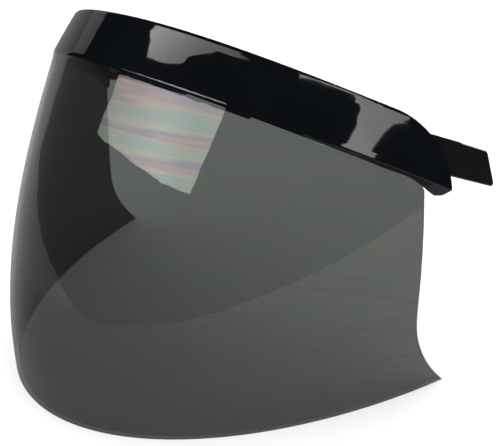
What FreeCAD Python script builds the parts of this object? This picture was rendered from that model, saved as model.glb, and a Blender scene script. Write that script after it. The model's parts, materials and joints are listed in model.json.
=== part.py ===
import FreeCAD, Part
import math
import os

# Visor of a jet helmet, in millimetres. It stands on the shield's flat lower edge: +Z is up, the
# front looks along -Y, and +X is the wearer's left. The brow band lies in a plane of its own that
# is high at the front, and every piece is first drawn over that plane, the band plane, with its
# own Y running rearwards and its own Z square to it. One turn at the end stands the visor up.

# Stance
band_tilt_angle = 32.7      # slope of the band plane, front high
band_plane_height = 76.9    # height of the band plane over the origin of its own Y

# Section of the shell, parallel to the band plane: half an oval that opens rearwards
shell_half_width = 135.5    # half width where the oval is widest, behind the visor
shell_centre_y = 60.3       # where the oval is widest
shell_front_reach = 119.3   # the front of the oval, ahead of the band plane's origin
shell_side_fullness_share = -0.0173
shell_nose_fullness_share = 0.0100
shell_nose_change_share = -0.0120

# How the section shrinks with depth under the band plane
shell_depth = 160.0         # depth at which the two shrinks below are reached
shell_side_shrink = 34.1    # half width lost at that depth
shell_side_shares = (0.737, 0.263)      # in proportion to the depth, and to its square
shell_front_tuck = 41.8     # front reach lost at that depth
shell_front_shares = (0.096, 0.194, 0.710)    # to the depth, its square and its cube

# Shield
shield_thickness = 2.0
shield_cover_depth = 13.6   # hidden height above the band plane
shield_step = 2.0           # the hidden rim is stepped inwards by this
shield_step_height = 6.0
rear_edge_y = -36.8         # the shield's rear edge, in the standing visor
rear_edge_lean_share = 0.093
rear_tip_flare = 19.2       # the lower tips reach this far further back
rear_tip_height = 40.0
rear_corner_cut_y = 1.9     # the corner under the pod is cut off by these two
rear_corner_cut_z = 1.4
shield_below_share = 0.06   # the net runs this far under the ground plane, and is cut there
shield_bend_share = 0.97    # where the shield starts to bend into its rim

# Brow cover
band_height = 22.4          # at the front
band_side_fall = 0.2        # the top edge is lower by this at the pods
band_middle_dip = 0.4       # and sags by this halfway there
band_front_lean = 7.5       # the top edge is set back by this at the front
band_lean_power = 5         # how fast that fades towards the sides
band_wall = 2.3             # wall over the shield's rim
band_top_wall = 1.55
band_roof = 2.2
band_roof_width = 11.0
band_crown = 0.8
band_lip_gap = 0.12
band_lip_wall = 1.0
lip_front_overhang = 0.7    # how far the lip stands out from the shield
lip_pod_overhang = 4.8
lip_rise = 1.3              # the wall's lower corner over the band plane, over the lip's bevel
pod_start_y = -75.0         # the band swells from here back to the pods at its ends
pod_end_y = -26.6
pod_drop = 2.4              # the pods reach this far under the band plane
pod_drop_start_y = -37.0
pod_drop_length = 6.5
pod_arc_radius = 26.0
pod_corner_radius = 1.2
band_corner_radius = 1.4
small_radius = 0.5

# Snap tabs under the lip, one each side
tab_setback = 26.8          # behind the front of the oval
tab_length = 9.5
tab_drop = 1.0
tab_thickness = 0.8

# Inner carrier, which clamps the shield's rim to the cover
carrier_gap = 0.15
carrier_web = 2.6
carrier_flange = 2.2
carrier_foot = 0.3          # it starts this far above the rim's step
carrier_end_y = -50.0

# Seals
seal_width = 4.0
seal_height = 4.1
seal_end_y = -51.0
gasket_height = 2.0
gasket_slack = 0.02
gasket_end_y = -56.0

# Carrier screws
screw_end_setback = 9.6     # the last screw each side is this far before the carrier's end
screw_shares = (-1.0, -0.66, -0.234, 0.234, 0.66, 1.0)
screw_height = 9.0
screw_radius = 1.25
screw_length = 6.4
screw_head_radius = 2.3
screw_head_height = 1.5
screw_head_gap = 0.2
screw_socket_radius = 0.9
screw_socket_depth = 0.9
screw_boss_radius = 2.3
screw_boss_gap = 0.2

# Side arms
pivot_y = -38.5             # pivot centre over the band plane
pivot_z = 10.2
arm_rest_angle = 6.7        # slope of the arm from the band plane, tail up
arm_travel_angle = 55.0
arm_depth = 5.538           # from the shell's side at the pivot in to the arm's outer face
arm_thickness = 4.2
arm_disc_radius = 8.1
arm_underside = 5.8         # from the pivot's centre line down to the lower edge
arm_top_length = 46.9       # from the pivot to the tail's two corners
arm_bottom_length = 63.2
arm_top_corner_radius = 5.0
arm_tip_corner_radius = 1.3
arm_joggle_start = 12.0
arm_joggle_length = 12.0
arm_joggle_offset = 6.2     # the tail lies this much further out than the disc
arm_joggle_radius = 5.0
arm_edge_radius = 0.7
arm_clearance = 0.6

# Pivot
pivot_washer_thickness = 0.6
pivot_washer_radius = 4.4
pivot_shoulder_radius = 2.5
pivot_running_gap = 0.05
pivot_bush_wall = 0.85
pivot_thread_radius = 2.0
pivot_thread_length = 5.2
pivot_head_radius = 4.2
pivot_head_height = 1.5
pivot_head_gap = 0.1
pivot_recess_depth = 1.8
pivot_recess_gap = 0.4
pivot_boss_radius = 7.6
pivot_hex_radius = 1.5
pivot_hex_depth = 1.0

# Click stop and end stop, on one circle round the pivot
stop_circle_radius = 5.95
detent_ball_radius = 1.25
detent_ball_out = 0.5       # ball centre, outside the arm's face
detent_gap = 0.05
detent_pocket_depth = 5.0
detent_angle = 60.0
detent_wire_radius = 0.2
detent_spring_turns = 5
stop_pin_radius = 1.0
stop_pin_gap = 0.12
stop_pin_depth = 2.0        # reach into the arm
stop_pin_seat = 3.6         # length seated in the cover's boss
stop_pin_angle = 275.0

# Threaded inserts in the arm's tail
insert_places = (31.0, 47.0)
insert_radius = 2.8
insert_bore_radius = 1.65
insert_length = 3.2

# Drawing values
overrun = 5.0               # how far a cutting tool runs past what it cuts
reach = 300.0               # longer than anything in the visor
touching = 1e-6             # points closer than this are one
turn_step = 0.01            # a small angle, in radians
station_count = 41
shield_row_count = 9
rim_row_count = 7

ORIGIN = FreeCAD.Vector(0, 0, 0)
X_AXIS = FreeCAD.Vector(1, 0, 0)
Z_AXIS = FreeCAD.Vector(0, 0, 1)
SIDES = (("left", 1), ("right", -1))

shell_oval_length = shell_centre_y + shell_front_reach
tilt_sine = math.sin(math.radians(band_tilt_angle))
tilt_cosine = math.cos(math.radians(band_tilt_angle))


def smooth_step(value):
    """Rises smoothly from 0 to 1 as value goes from 0 to 1."""
    value = min(max(value, 0.0), 1.0)
    return value * value * (3 - 2 * value)


def shell_size(depth):
    """Half width and oval length of the shell's section at a depth under the band plane."""
    share = depth / shell_depth
    side = sum(part * share ** (power + 1) for power, part in enumerate(shell_side_shares))
    front = sum(part * share ** (power + 1) for power, part in enumerate(shell_front_shares))
    return shell_half_width - shell_side_shrink * side, shell_oval_length - shell_front_tuck * front


def shell_point(angle, depth):
    """A point of the shell. The angle runs from 0 at the front towards the wearer's left."""
    width, length = shell_size(depth)
    side = shell_side_fullness_share
    nose = shell_nose_fullness_share + shell_nose_change_share * depth / shell_depth
    x = width * (math.sin(angle) + side * math.sin(3 * angle)) / (1 - side)
    y = shell_centre_y - length * (math.cos(angle) + nose * math.cos(3 * angle)) / (1 + nose)
    return FreeCAD.Vector(x, y, -depth)


def shell_normal(angle):
    """The outward direction of the shell's section in the band plane."""
    side, nose = shell_side_fullness_share, shell_nose_fullness_share
    run = shell_half_width * (math.cos(angle) + 3 * side * math.cos(3 * angle)) / (1 - side)
    rise = shell_oval_length * (math.sin(angle) + 3 * nose * math.sin(3 * angle)) / (1 + nose)
    return FreeCAD.Vector(rise, -run, 0).normalize()


def band_point(angle, out, up):
    """A point of the band: out from the shell's section and up from the band plane."""
    normal = shell_normal(angle)
    lean = band_front_lean * abs(normal.y) ** band_lean_power * max(up, 0.0) / band_height
    return shell_point(angle, 0) + normal * (out - lean) + Z_AXIS * up


def standing_height(point):
    return band_plane_height - tilt_sine * point.y + tilt_cosine * point.z


def standing_y(point):
    return tilt_cosine * point.y + tilt_sine * point.z


def bisect(function, low, high):
    """The place between low and high where the function changes sign."""
    sign = function(low) > 0
    for _ in range(60):
        middle = (low + high) / 2
        if (function(middle) > 0) == sign:
            low = middle
        else:
            high = middle
    return (low + high) / 2


def angle_at(y):
    """The angle at which the band's section reaches a given Y."""
    return bisect(lambda angle: shell_point(angle, 0).y - y, 0.0, math.pi / 2)


def base_depth(angle):
    """The depth at which the shell meets the plane that the visor stands on."""
    return bisect(lambda depth: standing_height(shell_point(angle, depth)), 0.0, 2 * shell_depth)


def rear_edge(height):
    """The rear edge's Y at a height over the ground: a leaning line with a flared tip."""
    flare = max(1 - height / rear_tip_height, 0.0) ** 2
    return rear_edge_y + rear_edge_lean_share * height + rear_tip_flare * flare


def curve_through(points):
    """A smooth curve through points at even steps of its parameter."""
    curve = Part.BSplineCurve()
    steps = [index / (len(points) - 1) for index in range(len(points))]
    curve.interpolate(Points=points, Parameters=steps)
    return curve


def surface_from(rows, degree):
    """A surface over curves of equal knots, of the given degree across them."""
    first = rows[0]
    poles = [list(column) for column in zip(*(row.getPoles() for row in rows))]
    surface = Part.BSplineSurface()
    surface.buildFromPolesMultsKnots(
        poles, first.getMultiplicities(), [degree + 1, degree + 1],
        first.getKnots(), [0.0, 1.0], False, False, first.Degree, degree)
    return surface


def net_surface(grid):
    """A smooth surface through a grid of points, given as rows."""
    rows = [curve_through(row) for row in grid]
    columns = [curve_through(list(column)) for column in zip(*(row.getPoles() for row in rows))]
    poles = [column.getPoles() for column in columns]
    surface = Part.BSplineSurface()
    surface.buildFromPolesMultsKnots(
        poles, rows[0].getMultiplicities(), columns[0].getMultiplicities(),
        rows[0].getKnots(), columns[0].getKnots(), False, False, rows[0].Degree, columns[0].Degree)
    return surface


def closed_solid(faces):
    """One solid from faces that meet edge to edge."""
    sheet = Part.Compound(faces)
    sheet.sewShape()
    solid = Part.Solid(Part.Shell(sheet.Faces))
    if solid.Volume < 0:
        solid.reverse()
    return solid


def rounded_outline(corners):
    """Points, control points and kinds of edge for corners given as (a, b, radius)."""
    pieces = []
    count = len(corners)
    for index, (a, b, radius) in enumerate(corners):
        before, after = corners[index - 1], corners[(index + 1) % count]
        if not radius:
            pieces.append([(a, b)])
            continue
        ends = []
        for other in (before, after):
            span = math.hypot(other[0] - a, other[1] - b)
            ends.append((a + (other[0] - a) * radius / span, b + (other[1] - b) * radius / span))
        pieces.append([ends[0], (a, b), ends[1]])
    return pieces


def band_sweep(outline, end_angle):
    """A solid along the band. The outline gives (out, up, radius) corners at an angle."""
    angles = [end_angle * (2 * step / (station_count - 1) - 1) for step in range(station_count)]
    stations = [rounded_outline(outline(angle)) for angle in angles]

    def track(corner, place):
        return curve_through([band_point(angle, *station[corner][place])
                              for angle, station in zip(angles, stations)])

    corner_count = len(stations[0])
    faces = []
    rings = []
    for corner in range(corner_count):
        rows = [track(corner, place) for place in range(len(stations[0][corner]))]
        if len(rows) > 1:
            faces.append(surface_from(rows, 2).toShape())
            rings.append(rows)
        following = (corner + 1) % corner_count
        rows = [track(corner, -1), track(following, 0)]
        faces.append(surface_from(rows, 1).toShape())
        rings.append(rows)
    for end in ("getStart", "getEnd"):
        edges = []
        for rows in rings:
            curve = Part.BezierCurve()
            curve.setPoles([row.StartPoint if end == "getStart" else row.EndPoint for row in rows])
            edges.append(curve.toShape())
        faces.append(Part.Face(Part.Wire(edges)))
    return closed_solid(faces)


def flat_outline(corners):
    """A closed wire of lines and arcs in the YZ plane from (y, z, radius) corners."""
    edges = []
    ends = []
    count = len(corners)
    for index, (y, z, radius) in enumerate(corners):
        here = FreeCAD.Vector(0, y, z)
        before = FreeCAD.Vector(0, *corners[index - 1][:2])
        after = FreeCAD.Vector(0, *corners[(index + 1) % count][:2])
        if not radius:
            ends.append((here, here))
            continue
        back, on = (before - here).normalize(), (after - here).normalize()
        half = back.getAngle(on) / 2
        leg = radius / math.tan(half)
        middle = here + (back + on).normalize() * (radius / math.sin(half) - radius)
        first, last = here + back * leg, here + on * leg
        edges.append(Part.Arc(first, middle, last).toShape())
        ends.append((first, last))
    for index in range(count):
        start, finish = ends[index][1], ends[(index + 1) % count][0]
        if start.distanceToPoint(finish) > touching:
            edges.append(Part.LineSegment(start, finish).toShape())
    return Part.Wire(Part.__sortEdges__(edges))


def side_prism(corners, x_from, x_to):
    """An outline seen from the side, made into a solid from one X to another."""
    face = Part.Face(flat_outline(corners))
    face.translate(FreeCAD.Vector(x_from, 0, 0))
    return face.extrude(FreeCAD.Vector(x_to - x_from, 0, 0))


def side_rod(radius, y, z, x_from, x_to):
    """A round rod along X."""
    return Part.makeCylinder(radius, x_to - x_from, FreeCAD.Vector(x_from, y, z), X_AXIS)


def carrier_out():
    """How far out the carrier's web meets the shield's stepped rim."""
    return rim_out(shield_step_height) - shield_thickness - carrier_gap


def screw_angles():
    """The screws' places round the band, in degrees, shared out between the two last ones."""
    last = math.degrees(angle_at(carrier_end_y - screw_end_setback))
    return [share * last for share in screw_shares]


def screw_axis(angle):
    """Where a carrier screw's head sits, its direction, and the web's true thickness there."""
    turn = math.radians(angle)
    seat = band_point(turn, carrier_out() - carrier_web, screw_height)
    face = band_point(turn, carrier_out(), screw_height)
    rise = band_point(turn, carrier_out(), band_height) - face
    ahead, behind = (band_point(turn + step, carrier_out(), screw_height)
                     for step in (turn_step, -turn_step))
    normal = (ahead - behind).cross(rise).normalize()
    return seat, normal, (face - seat).dot(normal)


def screw_rod(radius, angle, start, end):
    """A round rod on a carrier screw's axis, measured outwards from the head's seat."""
    seat, normal, _ = screw_axis(angle)
    return Part.makeCylinder(radius, end - start, seat + normal * start, normal)


def mirrored(shape, sign):
    """The shape itself on the left, its mirror image on the right."""
    return shape if sign > 0 else shape.mirror(ORIGIN, X_AXIS)


def pod_share(y):
    """0 along the band and 1 at the pods."""
    return smooth_step((y - pod_start_y) / (pod_end_y - pod_start_y))


def lip_overhang(y):
    return lip_front_overhang + (lip_pod_overhang - lip_front_overhang) * pod_share(y)


def band_top(y):
    """Height of the band's top edge over the band plane."""
    share = (y + shell_front_reach) / (pod_end_y + shell_front_reach)
    return band_height - band_side_fall * share - 4 * band_middle_dip * share * (1 - share)


def wall_inside(y, up):
    """How far out the inner side of the cover's wall lies, between the step and the roof."""
    share = (up - shield_step_height) / (band_height - band_roof - shield_step_height)
    wall = band_wall + (band_top_wall - band_wall) * share
    return lip_overhang(y) * (1 - up / band_height) - wall


def rim_out(up):
    """How far out the shield's hidden rim lies at a height over the band plane."""
    return -shield_step * smooth_step(up / shield_step_height)


def pivot_place(radius, angle):
    """Y and Z on a circle round the pivot, at an angle in degrees from the arm's own line."""
    turn = math.radians(arm_rest_angle + angle)
    return pivot_y + radius * math.cos(turn), pivot_z + radius * math.sin(turn)


def arm_place(along, across, turn=0):
    """Y and Z of a point of the arm, measured along it from the pivot and across it."""
    slope = math.radians(arm_rest_angle + turn)
    return (pivot_y + along * math.cos(slope) - across * math.sin(slope),
            pivot_z + along * math.sin(slope) + across * math.cos(slope))


def make_shield():
    """Smoke shield: two like surfaces a wall apart, with a stepped rim under the cover."""
    rows = []
    lower = [step / (shield_row_count - 1) for step in range(shield_row_count - 1)]
    lower = [-shield_below_share] + lower + [shield_bend_share]
    for share in lower:
        def outer(angle, share=share):
            return shell_point(angle, (1 - share) * base_depth(abs(angle)))
        rows.append(outer)
    for step in range(rim_row_count):
        up = shield_cover_depth * step / (rim_row_count - 1)
        rows.append(lambda angle, up=up: band_point(angle, rim_out(up), up))

    grid = []
    for row in rows:
        end = bisect(lambda angle: standing_y(row(angle)) - rear_edge(standing_height(row(angle))),
                     math.pi / 6, math.pi / 2)
        grid.append([row(end * (2 * step / (station_count - 1) - 1)) for step in range(station_count)])
    inner = [[point - grid_normal(grid, i, j) * shield_thickness for j, point in enumerate(row)]
             for i, row in enumerate(grid)]

    outside, inside = net_surface(grid), net_surface(inner)
    faces = [outside.toShape(), inside.toShape()]
    for iso in ("uIso", "vIso"):
        for value in (0.0, 1.0):
            pair = [getattr(surface, iso)(value) for surface in (outside, inside)]
            faces.append(surface_from(pair, 1).toShape())
    return closed_solid(faces)


def grid_normal(grid, i, j):
    """The outward direction at a point of a grid, from its neighbours."""
    rise = grid[min(i + 1, len(grid) - 1)][j] - grid[max(i - 1, 0)][j]
    run = grid[i][min(j + 1, len(grid[i]) - 1)] - grid[i][max(j - 1, 0)]
    return run.cross(rise).normalize()


def cover_outline(angle):
    """The cover's section: bevelled lip, outer wall, roof and the inside of both."""
    y = shell_point(angle, 0).y
    over = lip_overhang(y)
    foot = -pod_drop * smooth_step((y - pod_drop_start_y) / pod_drop_length)
    top = band_top(y)
    under_roof = top - band_roof
    return [
        (band_lip_gap, foot, 0),
        (over, lip_rise, small_radius),
        (over / 2 + band_crown / 2, top / 2, top / 3),
        (0, top, band_corner_radius),
        (-band_roof_width, top, small_radius),
        (-band_roof_width, under_roof, small_radius),
        (wall_inside(y, under_roof), under_roof, 0),
        (wall_inside(y, shield_step_height), shield_step_height, 0),
        (band_lip_gap, foot + band_lip_wall, 0),
    ]


def pod_outline():
    """Side view of the space that the cover fills, with the round rear ends of the band."""
    centre_y = pod_end_y - pod_arc_radius
    centre_z = band_top(centre_y) - pod_arc_radius
    top = FreeCAD.Vector(0, centre_y, band_top(centre_y))
    knee_z = pod_corner_radius - pod_drop
    knee_y = centre_y + math.sqrt(pod_arc_radius ** 2 - (knee_z - centre_z) ** 2)
    half = math.asin((knee_z - centre_z) / pod_arc_radius)
    halfway = (math.pi / 2 + half) / 2
    middle = FreeCAD.Vector(0, centre_y + pod_arc_radius * math.cos(halfway),
                            centre_z + pod_arc_radius * math.sin(halfway))
    knee = FreeCAD.Vector(0, knee_y, knee_z)
    toe = FreeCAD.Vector(0, knee_y - pod_corner_radius, -pod_drop)
    bend = pod_corner_radius * (1 - math.sqrt(2) / 2)
    heel = FreeCAD.Vector(0, knee_y - bend, -pod_drop + bend)
    loop = [toe, FreeCAD.Vector(0, toe.y, -reach), FreeCAD.Vector(0, -reach, -reach),
            FreeCAD.Vector(0, -reach, reach), FreeCAD.Vector(0, centre_y, reach), top]
    edges = [Part.LineSegment(first, last).toShape() for first, last in zip(loop, loop[1:])]
    edges += [Part.Arc(top, middle, knee).toShape(), Part.Arc(knee, heel, toe).toShape()]
    return Part.Wire(Part.__sortEdges__(edges))


def arm_side_corners():
    """The arm's tail in side view, measured along and across it from the pivot."""
    return [
        (0, arm_disc_radius, 0),
        (arm_top_length, arm_disc_radius, arm_top_corner_radius),
        (arm_bottom_length, -arm_underside, arm_tip_corner_radius),
        (0, -arm_underside, 0),
    ]


def arm_space():
    """The room that the raised arm needs inside the left pod."""
    side = arm_disc_radius + arm_clearance
    low = -arm_underside
    corners = [arm_place(0, side, arm_travel_angle), arm_place(arm_top_length, side, arm_travel_angle),
               arm_place(arm_top_length, low, arm_travel_angle), arm_place(0, low, arm_travel_angle)]
    strip = side_prism([(y, z, 0) for y, z in corners], 0, pivot_face_x())
    return strip.fuse(side_rod(side, pivot_y, pivot_z, 0, pivot_face_x()))


def arm_face_x():
    """The outer face of the arm's disc."""
    return shell_point(angle_at(pivot_y), 0).x - arm_depth


def pivot_face_x():
    """The face of the cover's boss that the pivot washer lies on."""
    return arm_face_x() + pivot_washer_thickness


def pocket_rod(radius, angle, x_from, x_to):
    y, z = pivot_place(stop_circle_radius, angle)
    return side_rod(radius, y, z, x_from, x_to)


def make_cover():
    """Brow cover with its screw bosses, snap tabs, pods and pivot bosses."""
    shape = band_sweep(cover_outline, angle_at(pod_end_y + overrun))
    keep = Part.Face(pod_outline())
    keep.translate(FreeCAD.Vector(-reach, 0, 0))
    shape = shape.common(keep.extrude(FreeCAD.Vector(2 * reach, 0, 0)))

    for angle in screw_angles():
        y = shell_point(math.radians(angle), 0).y
        web = screw_axis(angle)[2]
        length = wall_inside(y, screw_height) + band_top_wall / 2 - carrier_out()
        shape = shape.fuse(screw_rod(screw_boss_radius, angle, web, web + length))
    for side in (1, -1):
        turn = side * angle_at(tab_setback - shell_front_reach)
        place = band_point(turn, band_lip_gap, 0)
        tab = Part.makeBox(tab_length, tab_thickness, tab_drop + lip_rise)
        tab.translate(FreeCAD.Vector(-tab_length / 2, -tab_thickness, -tab_drop))
        normal = shell_normal(turn)
        tab.rotate(ORIGIN, Z_AXIS, math.degrees(math.atan2(normal.x, -normal.y)))
        tab.translate(place)
        shape = shape.fuse(tab)

    boss = side_rod(pivot_boss_radius, pivot_y, pivot_z, pivot_face_x(), shell_half_width)
    solid_band = band_sweep(lambda angle: [
        (-band_roof_width, -pod_drop, 0), (lip_overhang(shell_point(angle, 0).y) / 2, -pod_drop, 0),
        (lip_overhang(shell_point(angle, 0).y) / 2, screw_height, 0),
        (-band_wall, band_top(pod_end_y) - small_radius, 0),
        (-band_roof_width, band_top(pod_end_y) - small_radius, 0)], angle_at(pod_end_y + overrun))
    boss = boss.common(solid_band)
    for _, sign in SIDES:
        shape = shape.cut(mirrored(arm_space(), sign))
        shape = shape.fuse(mirrored(boss, sign))
    face = pivot_face_x()
    tools = [side_rod(pivot_thread_radius, pivot_y, pivot_z, face - overrun, face + pivot_thread_length),
             pocket_rod(detent_ball_radius + detent_gap, detent_angle, face - overrun,
                        face + detent_pocket_depth),
             pocket_rod(stop_pin_radius, stop_pin_angle, face - overrun, face + stop_pin_seat)]
    for tool in tools:
        for _, sign in SIDES:
            shape = shape.cut(mirrored(tool, sign))
    for angle in screw_angles():
        shape = shape.cut(screw_rod(screw_radius, angle, 0, screw_length))
    return shape.removeSplitter()


def finish_shield(shape):
    """Opens the shield for the screw bosses and the arms' discs, and cuts its rear corners."""
    for angle in screw_angles():
        shape = shape.cut(screw_rod(screw_boss_radius + screw_boss_gap, angle, 0, 2 * overrun))
    relief = side_rod(arm_disc_radius + 2 * arm_clearance, pivot_y, pivot_z, -reach, reach)
    corner_y = bisect(lambda y: standing_y(FreeCAD.Vector(0, y, 0))
                      - rear_edge(standing_height(FreeCAD.Vector(0, y, 0))), -reach, 0)
    chamfer = side_prism([(corner_y - 3 * rear_corner_cut_y, 2 * rear_corner_cut_z, 0),
                          (corner_y + 3 * rear_corner_cut_y, -4 * rear_corner_cut_z, 0),
                          (corner_y + 3 * rear_corner_cut_y, pivot_z, 0),
                          (pivot_y, pivot_z, 0)], -reach, reach)
    return shape.cut(relief).cut(chamfer)


def carrier_outline(angle):
    """The carrier's section: a web inside the shield's rim and a flange over it."""
    foot = shield_step_height + carrier_foot
    flange_low = shield_cover_depth + 2 * carrier_gap
    flange_top = flange_low + carrier_flange
    y = shell_point(angle, 0).y
    return [
        (carrier_out(), foot, 0),
        (carrier_out(), flange_low, 0),
        (wall_inside(y, flange_low) - carrier_gap, flange_low, 0),
        (wall_inside(y, flange_top) - carrier_gap, flange_top, small_radius),
        (carrier_out() - carrier_web, flange_top, small_radius),
        (carrier_out() - carrier_web, foot, small_radius),
    ]


def make_carrier():
    """Inner carrier with a screw hole and a flat seat for each screw head."""
    shape = band_sweep(carrier_outline, angle_at(carrier_end_y))
    for angle in screw_angles():
        shape = shape.cut(screw_rod(screw_radius, angle, -overrun, overrun))
        shape = shape.cut(screw_rod(screw_head_radius + screw_head_gap, angle, -overrun, 0))
    return shape


def seal_outline(angle):
    """The seal's section, glued to the inner end of the roof and a little higher than it."""
    top = band_top(shell_point(angle, 0).y) + small_radius
    inner = -band_roof_width - seal_width
    return [
        (-band_roof_width, top - seal_height, small_radius),
        (-band_roof_width, top, small_radius),
        (inner, top, seal_width / 3),
        (inner, top - seal_height, seal_width / 3),
    ]


def make_seal():
    """Rubber brow seal along the inner end of the cover's roof."""
    return band_sweep(seal_outline, angle_at(seal_end_y))


def gasket_outline(angle):
    """A thin strip that fills the gap between the shield's rim and the cover's wall."""
    y = shell_point(angle, 0).y
    top = shield_cover_depth
    low = top - gasket_height
    return [
        (rim_out(low) + gasket_slack, low, 0),
        (wall_inside(y, low) - gasket_slack, low, 0),
        (wall_inside(y, top) - gasket_slack, top, 0),
        (rim_out(top) + gasket_slack, top, 0),
    ]


def make_gasket():
    """The gasket strip, notched round the cover's screw bosses."""
    shape = band_sweep(gasket_outline, angle_at(gasket_end_y))
    for angle in screw_angles():
        shape = shape.cut(screw_rod(screw_boss_radius + screw_boss_gap, angle, 0, 2 * overrun))
    return shape


def make_carrier_screws():
    """Self-tapping screws, put in from inside through the carrier into the cover's bosses."""
    screws = []
    for angle in screw_angles():
        screw = screw_rod(screw_radius, angle, -screw_head_height / 2, screw_length)
        screw = screw.fuse(screw_rod(screw_head_radius, angle, -screw_head_height, 0))
        socket = screw_rod(screw_socket_radius, angle, -screw_head_height - overrun,
                           screw_socket_depth - screw_head_height)
        screws.append(screw.cut(socket))
    return Part.Compound(screws)


def make_arm():
    """Left arm: a disc on the pivot, a joggle outwards and a flat tail with two blind holes."""
    side = [(*arm_place(along, across), radius) for along, across, radius in arm_side_corners()]
    tail = side_prism(side, 0, shell_half_width)
    disc = side_rod(arm_disc_radius, pivot_y, pivot_z, 0, shell_half_width)
    inner = arm_face_x() - arm_thickness
    joggle_end = arm_joggle_start + arm_joggle_length
    shift = arm_thickness * math.tan(math.atan2(arm_joggle_offset, arm_joggle_length) / 2)
    plan = [
        (-arm_disc_radius - overrun, arm_face_x(), 0),
        (arm_joggle_start, arm_face_x(), arm_joggle_radius),
        (joggle_end, arm_face_x() + arm_joggle_offset, arm_joggle_radius),
        (arm_bottom_length + overrun, arm_face_x() + arm_joggle_offset, 0),
        (arm_bottom_length + overrun, inner + arm_joggle_offset, 0),
        (joggle_end + shift, inner + arm_joggle_offset, arm_joggle_radius),
        (arm_joggle_start + shift, inner, arm_joggle_radius),
        (-arm_disc_radius - overrun, inner, 0),
    ]
    # The plan's X stands in the outline's Z, and is turned into place
    face = Part.Face(flat_outline(plan))
    plate = face.extrude(FreeCAD.Vector(2 * shell_half_width, 0, 0))
    plate.translate(FreeCAD.Vector(-shell_half_width, 0, 0))
    plate.rotate(ORIGIN, FreeCAD.Vector(0, 1, 0), 90)
    plate.rotate(ORIGIN, X_AXIS, arm_rest_angle)
    plate.translate(FreeCAD.Vector(0, pivot_y, pivot_z))
    shape = plate.common(tail.fuse(disc).removeSplitter())
    tail_x = arm_face_x() + arm_joggle_offset
    rim = [edge for edge in shape.Edges
           if all(abs(vertex.X - tail_x) < small_radius / 10 for vertex in edge.Vertexes)]
    shape = shape.makeFillet(arm_edge_radius, rim)

    recess = pivot_head_radius + pivot_recess_gap
    bush = pivot_shoulder_radius + pivot_running_gap + pivot_bush_wall
    shape = shape.cut(side_rod(bush, pivot_y, pivot_z, 0, shell_half_width))
    shape = shape.cut(side_rod(recess, pivot_y, pivot_z, 0, inner + pivot_recess_depth))
    shape = shape.cut(stop_track(stop_pin_radius + stop_pin_gap, stop_pin_angle, arm_face_x()
                                 - stop_pin_depth - stop_pin_gap, arm_face_x() + overrun))
    shape = shape.cut(ball_track())
    for along in insert_places:
        y, z = arm_place(along, insert_across())
        shape = shape.cut(side_rod(insert_radius, y, z, 0, inner + arm_joggle_offset + insert_length))
    return shape


def insert_across():
    """The middle of the tail's height."""
    return (arm_disc_radius - arm_underside) / 2


def track_angles(angle):
    """Where a fixed stop goes round the pivot, as the turning arm sees it."""
    return angle - arm_travel_angle, angle


def stop_track(radius, angle, x_from, x_to):
    """A curved slot for a fixed pin, as long as the arm's travel."""
    low, high = track_angles(angle)
    ring = side_rod(stop_circle_radius + radius, pivot_y, pivot_z, x_from, x_to)
    ring = ring.cut(side_rod(stop_circle_radius - radius, pivot_y, pivot_z, x_from, x_to))
    corners = [(pivot_y, pivot_z, 0)]
    steps = 4
    for step in range(steps + 1):
        y, z = pivot_place(3 * stop_circle_radius, low + (high - low) * step / steps)
        corners.append((y, z, 0))
    slot = ring.common(side_prism(corners, x_from, x_to))
    for end in (low, high):
        slot = slot.fuse(pocket_rod(radius, end, x_from, x_to))
    return slot


def ball_track():
    """A round-bottomed groove for the click ball, as long as the arm's travel."""
    low, high = track_angles(detent_angle)
    radius = detent_ball_radius + detent_gap
    x = arm_face_x() + detent_ball_out
    circle = Part.makeCircle(radius, FreeCAD.Vector(x, pivot_y + stop_circle_radius, pivot_z), Z_AXIS)
    ring = Part.Face(Part.Wire(circle))
    ring.rotate(FreeCAD.Vector(0, pivot_y, pivot_z), X_AXIS, arm_rest_angle + low)
    groove = ring.revolve(FreeCAD.Vector(0, pivot_y, pivot_z), X_AXIS, high - low)
    for end in (low, high):
        y, z = pivot_place(stop_circle_radius, end)
        groove = groove.fuse(Part.makeSphere(radius, FreeCAD.Vector(x, y, z)))
    return groove


def make_arm_bush():
    """Bearing bush pressed into the arm, in which the pivot screw's shoulder turns."""
    inside = pivot_shoulder_radius + pivot_running_gap
    start = arm_face_x() - arm_thickness + pivot_recess_depth
    shape = side_rod(inside + pivot_bush_wall, pivot_y, pivot_z, start, arm_face_x())
    return shape.cut(side_rod(inside, pivot_y, pivot_z, start - overrun, arm_face_x() + overrun))


def make_arm_inserts():
    """Threaded inserts that take the screws of the helmet's side plates."""
    inserts = []
    start = arm_face_x() - arm_thickness + arm_joggle_offset
    for along in insert_places:
        y, z = arm_place(along, insert_across())
        insert = side_rod(insert_radius, y, z, start, start + insert_length)
        inserts.append(insert.cut(side_rod(insert_bore_radius, y, z, start - overrun,
                                           start + insert_length + overrun)))
    return Part.Compound(inserts)


def make_pivot_screw():
    """Shoulder screw, put in from inside: its shoulder carries the arm."""
    seat = arm_face_x() - arm_thickness + pivot_recess_depth - pivot_head_gap
    face = pivot_face_x()
    shape = side_rod(pivot_head_radius, pivot_y, pivot_z, seat - pivot_head_height, seat)
    shape = shape.fuse(side_rod(pivot_shoulder_radius, pivot_y, pivot_z, seat, face))
    shape = shape.fuse(side_rod(pivot_thread_radius, pivot_y, pivot_z, face, face + pivot_thread_length))
    corners = []
    for step in range(6):
        turn = math.pi * step / 3
        corners.append((pivot_y + pivot_hex_radius * math.cos(turn),
                        pivot_z + pivot_hex_radius * math.sin(turn), 0))
    return shape.cut(side_prism(corners, seat - pivot_head_height - overrun,
                                seat - pivot_head_height + pivot_hex_depth))


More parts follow.
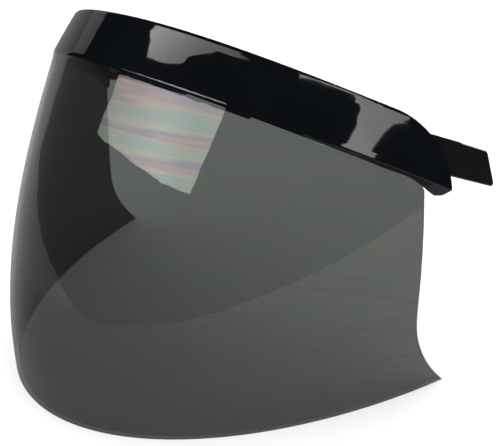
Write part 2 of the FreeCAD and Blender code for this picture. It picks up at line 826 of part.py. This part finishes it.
def make_pivot_washer():
    shape = side_rod(pivot_washer_radius, pivot_y, pivot_z, arm_face_x(), pivot_face_x())
    return shape.cut(side_rod(pivot_shoulder_radius, pivot_y, pivot_z, 0, shell_half_width))


def make_detent_ball():
    y, z = pivot_place(stop_circle_radius, detent_angle)
    return Part.makeSphere(detent_ball_radius, FreeCAD.Vector(arm_face_x() + detent_ball_out, y, z))


def make_detent_spring():
    """Small coil spring behind the click ball."""
    y, z = pivot_place(stop_circle_radius, detent_angle)
    start = arm_face_x() + detent_ball_out + detent_ball_radius + detent_wire_radius
    end = pivot_face_x() + detent_pocket_depth - detent_wire_radius
    mean = detent_ball_radius - 2 * detent_wire_radius
    path = Part.makeHelix((end - start) / detent_spring_turns, end - start, mean)
    ring = Part.Wire(Part.makeCircle(detent_wire_radius, FreeCAD.Vector(mean, 0, 0), FreeCAD.Vector(0, 1, 0)))
    coil = Part.Wire(path.Edges).makePipeShell([ring], True, True)
    coil.rotate(ORIGIN, FreeCAD.Vector(0, 1, 0), 90)
    coil.translate(FreeCAD.Vector(start, y, z))
    return coil


def make_stop_pin():
    face = pivot_face_x()
    return pocket_rod(stop_pin_radius, stop_pin_angle, arm_face_x() - stop_pin_depth, face + stop_pin_seat)


def stand_up(shape):
    """From the band plane's frame to the standing visor."""
    placed = shape.copy()
    placed.rotate(ORIGIN, X_AXIS, -band_tilt_angle)
    placed.translate(FreeCAD.Vector(0, 0, band_plane_height))
    return placed


def main():
    os.makedirs("parts", exist_ok=True)
    nodes = {
        "shield": finish_shield(make_shield()),
        "brow_cover": make_cover(),
        "inner_carrier": make_carrier(),
        "brow_seal": make_seal(),
        "shield_gasket": make_gasket(),
        "carrier_screws": make_carrier_screws(),
    }
    sided = {
        "arm": make_arm(),
        "arm_bush": make_arm_bush(),
        "arm_inserts": make_arm_inserts(),
        "pivot_screw": make_pivot_screw(),
        "pivot_washer": make_pivot_washer(),
        "detent_ball": make_detent_ball(),
        "detent_spring": make_detent_spring(),
        "stop_pin": make_stop_pin(),
    }
    for side, sign in SIDES:
        for name, shape in sided.items():
            nodes[f"{side}_{name}"] = mirrored(shape, sign)

    nodes = {name: stand_up(shape) for name, shape in nodes.items()}
    ground = Part.makeBox(2 * reach, 2 * reach, reach, FreeCAD.Vector(-reach, -reach, -reach))
    nodes["shield"] = nodes["shield"].cut(ground)

    box = Part.Compound(list(nodes.values())).optimalBoundingBox()
    shift = FreeCAD.Vector(0, -(box.YMin + box.YMax) / 2, 0)
    for name, shape in nodes.items():
        shape.translate(shift)
        shape.exportStep(f"parts/{name}.step")
        print(name, "valid", shape.isValid(), "solids", len(shape.Solids), "volume", round(shape.Volume, 2))
    pivot = FreeCAD.Vector(arm_face_x(), pivot_y, pivot_z)
    print("size", round(box.XLength, 2), round(box.YLength, 2), round(box.ZLength, 2))
    print("shift", round(shift.y, 4), "pivot", round(standing_y(pivot) + shift.y, 4),
          round(standing_height(pivot), 4))


main()
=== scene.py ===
"""Looks of a smoked motorcycle helmet visor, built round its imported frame. All lengths are in metres."""
import json
import math

import bmesh
import bpy
import numpy as np
from mathutils import Matrix


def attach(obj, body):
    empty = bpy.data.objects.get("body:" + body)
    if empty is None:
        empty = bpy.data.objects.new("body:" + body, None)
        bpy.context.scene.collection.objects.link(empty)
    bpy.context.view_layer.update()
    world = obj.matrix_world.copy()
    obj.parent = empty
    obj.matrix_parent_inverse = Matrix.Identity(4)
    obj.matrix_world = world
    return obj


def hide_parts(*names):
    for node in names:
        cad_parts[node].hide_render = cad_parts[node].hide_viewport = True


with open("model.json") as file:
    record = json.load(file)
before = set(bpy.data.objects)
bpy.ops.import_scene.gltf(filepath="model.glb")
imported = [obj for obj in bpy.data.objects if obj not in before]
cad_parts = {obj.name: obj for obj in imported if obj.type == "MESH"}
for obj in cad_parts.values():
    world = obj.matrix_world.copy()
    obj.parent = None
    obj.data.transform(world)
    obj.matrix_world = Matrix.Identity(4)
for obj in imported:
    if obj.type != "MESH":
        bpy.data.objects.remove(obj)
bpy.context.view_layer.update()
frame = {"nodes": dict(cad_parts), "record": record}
nodes = frame["nodes"]


# Camera

camera_place = (0.261337, -0.179684, 0.212398)
camera_azimuth = math.radians(49.791)
camera_dip = math.radians(27.313)
camera_roll = math.radians(-4.047)
camera_lens_mm = 53.22
camera_sensor_mm = 36.0
camera_shift = (0.0043, 0.0074)


def make_camera():
    """The photograph's camera: it stands camera_place, looks down by camera_dip and is rolled a little."""
    data = bpy.data.cameras.new("camera")
    data.lens = camera_lens_mm
    data.sensor_width = camera_sensor_mm
    data.shift_x, data.shift_y = camera_shift
    data.clip_start, data.clip_end = 0.01, 50.0
    camera = bpy.data.objects.new("camera", data)
    turn = Matrix.Rotation(camera_azimuth, 4, "Z")
    tilt = Matrix.Rotation(math.pi / 2 - camera_dip, 4, "X")
    roll = Matrix.Rotation(camera_roll, 4, "Z")
    camera.matrix_world = Matrix.Translation(camera_place) @ turn @ tilt @ roll
    bpy.context.scene.collection.objects.link(camera)
    bpy.context.scene.camera = camera


# Shader tools

class Wire:
    """A socket of a shader node. Sums, products and powers with it add the Math nodes that work them out."""

    def __init__(self, tree, socket):
        self.tree = tree
        self.socket = socket

    def node(self, kind, settings=(), **inputs):
        """Adds a node of that kind, sets its settings first, then its inputs by name or by number (in_0)."""
        made = self.tree.nodes.new(kind)
        for key, value in dict(settings).items():
            if key == "stops":
                set_stops(made.color_ramp, value)
            else:
                setattr(made, key, value)
        for key, value in inputs.items():
            place = int(key[3:]) if key.startswith("in_") else key.replace("_", " ")
            if isinstance(value, Wire):
                self.tree.links.new(value.socket, made.inputs[place])
            else:
                made.inputs[place].default_value = value
        return made

    def out(self, kind, output=0, settings=(), **inputs):
        """The same, and hands back one output as a Wire."""
        return Wire(self.tree, self.node(kind, settings, **inputs).outputs[output])

    def maths(self, operation, *values):
        """A Math node with that operation on the values."""
        inputs = {f"in_{i}": v for i, v in enumerate(values)}
        return self.out("ShaderNodeMath", settings={"operation": operation}, **inputs)

    def __add__(self, other):
        return self.maths("ADD", self, other)

    def __sub__(self, other):
        return self.maths("SUBTRACT", self, other)

    def __rsub__(self, other):
        return self.maths("SUBTRACT", other, self)

    def __mul__(self, other):
        return self.maths("MULTIPLY", self, other)

    def __pow__(self, other):
        return self.maths("POWER", self, other)

    __radd__ = __add__
    __rmul__ = __mul__


def set_stops(ramp, stops):
    """Puts (place, colour) stops on a colour ramp."""
    while len(ramp.elements) < len(stops):
        ramp.elements.new(0.5)
    for element, (place, colour) in zip(ramp.elements, stops):
        element.position = place
        element.color = (*colour, 1.0)


def new_material(name):
    """An empty material, and a Wire with its Object coordinates."""
    material = bpy.data.materials.new(name)
    material.use_nodes = True
    tree = material.node_tree
    tree.nodes.clear()
    place = Wire(tree, tree.nodes.new("ShaderNodeTexCoord").outputs["Object"])
    return material, place


def finish_material(place, shader):
    """Joins the finished shader to the surface."""
    place.node("ShaderNodeOutputMaterial", Surface=shader)


def mix_colour(place, factor, first, second):
    """Colour from first to second as factor goes from 0 to 1."""
    return place.out("ShaderNodeMix", 2, {"data_type": "RGBA"}, in_0=factor, in_6=first, in_7=second)


def rgba(red, green, blue):
    """A solid colour."""
    return (red, green, blue, 1.0)


def grey(level):
    """A colour of that level in all three channels."""
    return rgba(level, level, level)


finish_drift_scale = 38.0


def plastic(name, dark, light, rough, rough_change, grain, bump, specular=0.5, metallic=0.0):
    """A moulded or turned finish: its colour drifts from dark to light and its gloss by rough_change over a
    soft noise, and a finer noise of that grain (per metre) stands up by bump metres."""
    material, place = new_material(name)
    drift = place.out("ShaderNodeTexNoise", 0, Vector=place, Scale=finish_drift_scale, Detail=3.0)
    fine = place.out("ShaderNodeTexNoise", 0, Vector=place, Scale=grain, Detail=2.0)
    colour = mix_colour(place, drift, dark, light)
    roughness = rough + rough_change * (drift - 0.5)
    raised = place.out("ShaderNodeBump", 0, Height=fine, Distance=bump, Strength=1.0)
    shader = place.out("ShaderNodeBsdfPrincipled", 0, Base_Color=colour, Roughness=roughness,
                       Normal=raised, Metallic=metallic, Specular_IOR_Level=specular)
    finish_material(place, shader)
    return material


# Smoked shield

smoke_pass = (0.297, 0.310, 0.298)
smoke_gloss = 0.055
smoke_haze = 0.13
smoke_roughness = 0.015
coat_flow_slope = math.radians(20.5)
coat_top = 0.118
coat_bands_at_top = 35.0
coat_band_growth = 1200.0
coat_stretch = (0.07, 0.07, 1.0)
coat_broad_scale = 90.0
coat_fine_scale = 380.0
coat_wobble = 1.1
coat_stops = ((0.0, (0.66, 0.60, 0.78)), (0.16, (0.98, 0.68, 0.73)), (0.32, (1.0, 0.93, 0.74)),
              (0.46, (0.66, 0.86, 0.84)), (0.60, (0.74, 0.88, 0.76)), (0.76, (0.98, 0.93, 0.76)),
              (1.0, (0.66, 0.60, 0.78)))
coat_plain = (0.84, 0.83, 0.82)
coat_bands_from_x = -0.004
coat_bands_full_x = 0.014


def make_smoke():
    """Smoked clear plastic with a hard coat. Each face lets smoke_pass through and mirrors
    gloss + (1 - gloss) * facing ** 5, tinted by the pastel bands of the coat. The coat ran down while it was
    wet, so its bands follow each other faster further down: their count is bands at top * drop +
    growth * drop ** 2, and a broad and a fine noise, drawn out across the flow, make it wobble. Towards
    the wearer's right the coat is even, and plain."""
    material, place = new_material("smoke_shield")
    facing = place.out("ShaderNodeLayerWeight", 1, Blend=0.5)
    mirror = smoke_gloss + (1 - smoke_gloss) * facing ** 5.0
    turned = place.out("ShaderNodeMapping", 0, Vector=place, Rotation=(coat_flow_slope, 0.0, 0.0))
    flow = place.out("ShaderNodeMapping", 0, Vector=turned, Scale=coat_stretch)
    broad = place.out("ShaderNodeTexNoise", 0, Vector=flow, Scale=coat_broad_scale, Detail=1.0)
    fine = place.out("ShaderNodeTexNoise", 0, Vector=flow, Scale=coat_fine_scale, Detail=1.5)
    drop = coat_top - place.out("ShaderNodeSeparateXYZ", 2, in_0=turned)
    bands = coat_bands_at_top * drop + coat_band_growth * drop * drop
    bands = bands + coat_wobble * (broad - 0.5) + coat_wobble * (fine - 0.5)
    banded = place.out("ShaderNodeValToRGB", 0, {"stops": coat_stops}, in_0=bands.maths("FRACT", bands))
    sideways = place.out("ShaderNodeSeparateXYZ", 0, in_0=place)
    reach = place.out("ShaderNodeMapRange", 0, {"interpolation_type": "SMOOTHSTEP"}, in_0=sideways,
                      in_1=coat_bands_from_x, in_2=coat_bands_full_x)
    tint = mix_colour(place, reach, rgba(*coat_plain), banded)
    through = place.out("ShaderNodeBsdfTransparent", 0, Color=rgba(*smoke_pass))
    polish = place.out("ShaderNodeBsdfPrincipled", 0, Base_Color=tint, Metallic=1.0 - smoke_haze,
                       Roughness=smoke_roughness)
    shader = place.out("ShaderNodeMixShader", 0, in_0=mirror, in_1=through, in_2=polish)
    finish_material(place, shader)
    return material


make_camera()

finishes = {
    "smoke_shield": make_smoke(),
    "gloss_black": plastic("gloss_black", rgba(0.0026, 0.0033, 0.0042), rgba(0.0036, 0.0044, 0.0054),
                           rough=0.03, rough_change=0.02, grain=55.0, bump=0.000006),
    "satin_black": plastic("satin_black", rgba(0.0052, 0.0056, 0.0062), rgba(0.0070, 0.0075, 0.0080),
                           rough=0.2, rough_change=0.1, grain=2600.0, bump=0.000004, specular=0.2),
    "matt_black": plastic("matt_black", rgba(0.010, 0.010, 0.011), rgba(0.018, 0.018, 0.019),
                          rough=0.62, rough_change=0.12, grain=3200.0, bump=0.00003),
    "black_rubber": plastic("black_rubber", rgba(0.008, 0.008, 0.0085), rgba(0.016, 0.016, 0.016),
                            rough=0.8, rough_change=0.15, grain=1800.0, bump=0.00003, specular=0.3),
    "steel": plastic("steel", rgba(0.46, 0.46, 0.47), rgba(0.62, 0.61, 0.60),
                     rough=0.3, rough_change=0.15, grain=2400.0, bump=0.000006, metallic=1.0),
    "brass": plastic("brass", rgba(0.62, 0.44, 0.19), rgba(0.78, 0.58, 0.28),
                     rough=0.28, rough_change=0.15, grain=2400.0, bump=0.000006, metallic=1.0),
    "nylon": plastic("nylon", rgba(0.62, 0.61, 0.56), rgba(0.76, 0.75, 0.70),
                     rough=0.5, rough_change=0.1, grain=1500.0, bump=0.00001),
}
slot_of = {part["node"]: part["material_slot"] for part in frame["record"]["subparts"]}
for name, node in nodes.items():
    node.data.materials.clear()
    node.data.materials.append(finishes[slot_of[name]])


# Screws and inserts, with the threads that the solids leave out

merge_distance = 0.000001
point_decimals = 7


def node_points(name):
    """A node's corner points, one row each and no point twice."""
    mesh = nodes[name].data
    points = np.empty(len(mesh.vertices) * 3)
    mesh.vertices.foreach_get("co", points)
    return np.unique(points.reshape(-1, 3).round(point_decimals), axis=0)


def zigzag(turns):
    """A wave that rises from 0 to 1 and falls back to 0 once in each whole turn."""
    return 1 - np.abs(2 * (turns % 1.0) - 1)


def add_grids(name, body, replaced, grids, ring):
    """One object from grids of points. Each row is a closed loop. In a ring the last row is joined to the
    first, and otherwise both of these rows lie in a point."""
    points, faces, start = [], [], 0
    for grid in grids:
        rows, columns = grid.shape[:2]
        row, column = np.meshgrid(np.arange(rows if ring else rows - 1), np.arange(columns), indexing="ij")
        row, column = row.ravel(), column.ravel()
        after_row, after_column = (row + 1) % rows, (column + 1) % columns
        corners = np.stack([row * columns + column, row * columns + after_column,
                            after_row * columns + after_column, after_row * columns + column], 1)
        points.append(grid.reshape(-1, 3))
        faces.append(corners + start)
        start += rows * columns
    mesh = bpy.data.meshes.new(name)
    mesh.from_pydata(np.concatenate(points).tolist(), [], np.concatenate(faces).tolist())
    made = bpy.data.objects.new(name, mesh)
    bpy.context.scene.collection.objects.link(made)
    slot = slot_of[replaced]
    mesh.materials.append(finishes[slot])
    welded = bmesh.new()
    welded.from_mesh(mesh)
    bmesh.ops.remove_doubles(welded, verts=welded.verts, dist=merge_distance)
    bmesh.ops.recalc_face_normals(welded, faces=welded.faces)
    welded.to_mesh(mesh)
    welded.free()
    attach(made, body)
    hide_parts(replaced)


def round_grid(origin, along, lengths, radii):
    """Points round an axis: origin + length * along + radius * (sideways * cos + across * sin)."""
    turn = np.linspace(0, 2 * math.pi, radii.shape[1], endpoint=False)
    sideways = np.cross(along, (0.0, 0.0, 1.0))
    sideways /= np.linalg.norm(sideways)
    across = np.cross(along, sideways)
    circle = np.cos(turn)[:, None] * sideways + np.sin(turn)[:, None] * across
    return origin + lengths[..., None] * along + radii[..., None] * circle[None]


insert_steps = 144
insert_outer_rows = 17
insert_bore_rows = 41
insert_rim_share = 1 / 8
insert_core = 0.00165
insert_pitch = 0.0007
insert_groove = 0.00035
knurl_ridges = 24
knurl_depth = 0.00018
knurl_lean = 900.0


def insert_grid(points):
    """A knurled brass insert. Outside, its radius is r - depth * (1 - crossed ridges) between two plain
    rims, and in its bore it is core + groove * zigzag(turn + length / pitch). The two ends are flat."""
    low, high = points.min(0), points.max(0)
    origin = np.array((low[0], (low[1] + high[1]) / 2, (low[2] + high[2]) / 2))
    length, radius = high[0] - low[0], (high[1] - low[1]) / 2
    turn = np.linspace(0, 1, insert_steps, endpoint=False)[None]
    outside = np.linspace(0, length, insert_outer_rows)[:, None]
    ridges = np.maximum(zigzag(turn * knurl_ridges + outside * knurl_lean),
                        zigzag(turn * knurl_ridges - outside * knurl_lean))
    rim = np.minimum(outside, length - outside) > length * insert_rim_share
    outer = radius - knurl_depth * (1 - ridges) * rim
    inside = np.linspace(length, 0, insert_bore_rows)[:, None]
    bore = insert_core + insert_groove * zigzag(turn + inside / insert_pitch)
    lengths = np.concatenate([outside, inside]) * np.ones_like(turn)
    return round_grid(origin, np.array((1.0, 0.0, 0.0)), lengths, np.concatenate([outer, bore]))


def make_inserts(side):
    """An arm's two inserts, the rear one and the front one, in one piece."""
    node = f"{side}_arm_inserts"
    points = node_points(node)
    middle = (points[:, 1].min() + points[:, 1].max()) / 2
    grids = [insert_grid(points[points[:, 1] < middle]), insert_grid(points[points[:, 1] > middle])]
    add_grids(f"{side}_threaded_inserts", f"{side}_arm", node, grids, True)


screw_steps = 96
screw_head_rows = 27
screw_rows_per_pitch = 8
screw_dome_share = 0.35
screw_dome_power = 2.5
screw_pitch = 0.001
screw_groove = 0.0003
screw_point = 0.0012
screw_point_power = 0.7
screws_apart = math.radians(4)
head_width_share = 0.9
recess_reach = 0.0013
recess_arm = 0.00032
recess_wall = 0.00018
recess_depth = 0.0009


def screw_grid(points):
    """A pan-head screw with a cross recess. It is round, so its axis is the way in which its points spread
    unlike in the other two, and the end with the widest points is its head. At a share of the head's
    radius the face lies at start + dome * share ** power, sunk by the recess's depth inside the cross. The
    shank is r - groove * (1 - zigzag(turn + length / pitch) ** 2), and narrows to a point over its last
    stretch."""
    middle = points.mean(0)
    spreads, ways = np.linalg.eigh(np.cov((points - middle).T))
    along = ways[:, 2] if spreads[2] - spreads[1] > spreads[1] - spreads[0] else ways[:, 0]
    lengths = (points - middle) @ along
    radii = np.linalg.norm(points - middle - lengths[:, None] * along, axis=1)
    if lengths[radii > head_width_share * radii.max()].mean() > 0:
        along, lengths = -along, -lengths
    start, end = lengths.min(), lengths.max()
    head_radius = radii.max()
    head_end = lengths[radii > head_width_share * head_radius].max()
    shank_radius = radii[lengths > end - (end - head_end) / 2].max()
    turn = np.linspace(0, 1, screw_steps, endpoint=False)[None]

    share = np.linspace(0, 1, screw_head_rows)[:, None]
    right = np.abs(head_radius * share * np.cos(2 * math.pi * turn))
    up = np.abs(head_radius * share * np.sin(2 * math.pi * turn))
    slot = np.clip((recess_arm - np.minimum(right, up)) / recess_wall, 0, 1)
    inside = np.clip((recess_reach - np.maximum(right, up)) / recess_wall, 0, 1)
    dome = screw_dome_share * (head_end - start)
    head_lengths = start + dome * share ** screw_dome_power + recess_depth * slot * inside
    head_radii = head_radius * share * np.ones_like(turn)

    reach_rows = screw_rows_per_pitch * round((end - head_end) / screw_pitch) + 1
    reach = np.linspace(head_end, end, reach_rows)[:, None]
    thread = shank_radius - screw_groove * (1 - zigzag(turn + reach / screw_pitch) ** 2)
    thread = thread * np.minimum(1, (end - reach) / screw_point) ** screw_point_power
    collar = np.array((head_radius, shank_radius))[:, None] * np.ones_like(turn)
    collar_lengths = np.full_like(collar, head_end)
    lengths = np.concatenate([head_lengths, collar_lengths, reach * np.ones_like(turn)])
    return round_grid(middle, along, lengths, np.concatenate([head_radii, collar, thread]))


def make_carrier_screws():
    """The screws lie apart round the band, so their points part at the wide steps in azimuth."""
    points = node_points("carrier_screws")
    azimuth = np.arctan2(points[:, 0], -points[:, 1])
    order = np.argsort(azimuth)
    breaks = np.nonzero(np.diff(azimuth[order]) > screws_apart)[0] + 1
    grids = [screw_grid(group) for group in np.split(points[order], breaks)]
    add_grids("cross_head_screws", "visor", "carrier_screws", grids, False)


for arm_side in ("left", "right"):
    make_inserts(arm_side)
make_carrier_screws()


# Stage

# Painted shade: rays from gloss see the floor much darker than its own colour, and darkest in a painted
# shadow round floor_shade_place in front of the visor.
floor_gloss_painted_shade_near = 0.13
floor_gloss_painted_shade_far = 0.29
floor_shade_place = (0.04, -0.25, 0.0)
floor_shade_radius = 0.14
floor_shade_end = 0.30
floor_drift_scale = 6.0
floor_dark = 0.79
floor_light = 0.81
floor_roughness = 0.9
floor_glow = 0.25
floor_edge = ((-2.5, 6.0), (-1.0, 2.8), (-0.3, 1.2), (0.0, 0.56), (0.12, 0.30), (0.20, 0.14), (0.33, 0.08),
              (0.516, 0.042), (0.407, -0.096), (0.343, -0.219), (0.294, -0.268), (0.183, -0.332),
              (0.072, -0.392), (-0.007, -0.39), (-0.136, -0.562), (-0.5, -1.009), (-1.213, -1.441),
              (-2.6, -1.4), (-6.0, -1.4), (-6.0, 6.0))


def make_floor():
    """The plain pale table top, at z = 0, with the outline floor_edge. It glows a little by itself. Gloss
    sees it through a painted shade that makes it dimmer than it is, dimmest in a painted shadow in front of
    the visor."""
    material, place = new_material("table_top")
    drift = place.out("ShaderNodeTexNoise", 0, Vector=place, Scale=floor_drift_scale, Detail=2.0)
    in_gloss = place.out("ShaderNodeLightPath", "Is Glossy Ray")
    pale = mix_colour(place, drift, grey(floor_dark), grey(floor_light))
    away = place.out("ShaderNodeVectorMath", "Value", {"operation": "DISTANCE"}, in_0=place,
                     in_1=floor_shade_place)
    share = place.out("ShaderNodeMapRange", 0, in_0=away, in_1=floor_shade_radius, in_2=floor_shade_end)
    # Painted shade in the floor's reflection, darkest in a painted shadow near floor_shade_place.
    painted_gloss_shade = mix_colour(place, share, grey(floor_gloss_painted_shade_near), grey(floor_gloss_painted_shade_far))
    colour = mix_colour(place, in_gloss, pale, painted_gloss_shade)
    shader = place.out("ShaderNodeBsdfPrincipled", 0, Base_Color=colour, Roughness=floor_roughness,
                       Specular_IOR_Level=0.0, Emission_Color=colour, Emission_Strength=floor_glow)
    finish_material(place, shader)
    mesh = bpy.data.meshes.new("floor")
    mesh.from_pydata([(x, y, 0.0) for x, y in floor_edge], [], [tuple(range(len(floor_edge)))])
    mesh.materials.append(material)
    floor = bpy.data.objects.new("floor", mesh)
    bpy.context.scene.collection.objects.link(floor)


card_centre = np.array((0.04, -0.02, 0.12))
card_distance = 1.5
card_drift_scale = 1.8
card_drift_low = 0.75
card_drift_change = 0.5


def card_point(azimuth, height):
    """A place on the sphere that the cards lie on, from its azimuth and height in degrees."""
    azimuth, height = np.radians(azimuth), np.radians(height)
    way = np.stack([np.sin(azimuth) * np.cos(height), -np.cos(azimuth) * np.cos(height), np.sin(height)], -1)
    return card_centre + card_distance * way


def make_card(name, outline, strength, spot, fade):
    """A glowing studio card. Its outline is given in degrees round the band, as azimuth and height, and it
    glows by strength * (low + change * soft noise) * (1 - fade * distance from its bright spot)."""
    material, place = new_material(name)
    drift = place.out("ShaderNodeTexNoise", 0, Vector=place, Scale=card_drift_scale, Detail=1.0)
    away = place.out("ShaderNodeVectorMath", "Value", {"operation": "DISTANCE"}, in_0=place,
                     in_1=card_point(*spot).tolist())
    power = strength * (card_drift_low + card_drift_change * drift) * (1 - fade * away)
    glow = place.out("ShaderNodeEmission", 0, Color=grey(1.0), Strength=power)
    finish_material(place, glow)
    corners = card_point(*np.array(outline).T)
    mesh = bpy.data.meshes.new(name)
    mesh.from_pydata(corners.tolist(), [], [tuple(range(len(corners)))])
    mesh.materials.append(material)
    card = bpy.data.objects.new(name, mesh)
    card.visible_camera = False
    card.visible_diffuse = False
    card.visible_shadow = False
    bpy.context.scene.collection.objects.link(card)


world_strength = 1.4


def make_world():
    """Even soft light from all round, which gloss doesn't mirror."""
    world = bpy.data.worlds.new("studio")
    world.use_nodes = True
    world.node_tree.nodes["Background"].inputs["Color"].default_value = grey(1.0)
    world.node_tree.nodes["Background"].inputs["Strength"].default_value = world_strength
    world.cycles_visibility.glossy = False
    bpy.context.scene.world = world


make_floor()
make_world()
make_card("window_card", ((-28.5, 30.5), (-7.5, 33.0), (15.5, 31.0), (33.0, 26.0), (32.4, 23.2),
                          (30.9, 19.4), (29.4, 14.1), (21.3, 16.4), (12.5, 18.9), (3.9, 20.8),
                          (-9.6, 22.8), (-21.4, 22.4), (-29.1, 22.0), (-29.2, 26.3)),
          strength=6.6, spot=(12.0, 28.0), fade=0.50)
make_card("ceiling_card", ((-65.5, 53.3), (-53.0, 55.8), (-38.2, 56.4), (-23.4, 57.9), (-9.1, 58.6),
                           (-3.1, 58.8), (-4.8, 60.5), (-0.8, 61.1), (13.0, 60.8), (40.0, 54.5),
                           (19.0, 61.5), (-8.5, 64.3), (-42.0, 61.5), (-54.0, 58.6)),
          strength=5.4, spot=(-60.0, 55.0), fade=0.56)
make_card("side_card", ((63.5, 42.0), (73.0, 35.5), (80.0, 32.0), (82.0, 30.8), (82.0, 29.0), (77.6, 26.5),
                        (74.0, 24.9), (71.2, 23.8), (71.2, 22.4), (80.0, 22.4), (80.2, 24.2), (83.0, 25.1),
                        (88.3, 26.0), (95.0, 26.5), (100.5, 25.8), (102.0, 25.7), (102.5, 30.0),
                        (108.0, 40.0), (125.0, 50.0), (118.0, 56.0), (90.0, 56.0), (64.0, 50.0)),
          strength=5.2, spot=(68.0, 30.0), fade=0.42)
make_card("wall_card", ((-76.5, -8.0), (-76.7, 1.9), (-78.7, 4.8), (-79.5, 9.0), (-81.0, 20.0),
                        (-140.0, 12.0), (-150.0, 8.0), (-150.0, -8.0)),
          strength=0.46, spot=(-80.0, -8.0), fade=0.60)
make_card("high_wall_card", ((-81.0, 20.0), (-82.0, 30.0), (-85.2, 28.5), (-89.7, 26.5), (-94.0, 24.0),
                             (-125.0, 15.0), (-140.0, 12.0)),
          strength=0.40, spot=(-80.0, 20.0), fade=0.0)
make_card("back_card", ((145.0, -4.0), (220.0, -4.0), (220.0, 6.0), (145.0, 6.0)),
          strength=6.0, spot=(180.0, 0.0), fade=0.0)

scene = bpy.context.scene
scene.view_settings.view_transform = "Standard"
scene.cycles.transparent_max_bounces = 16
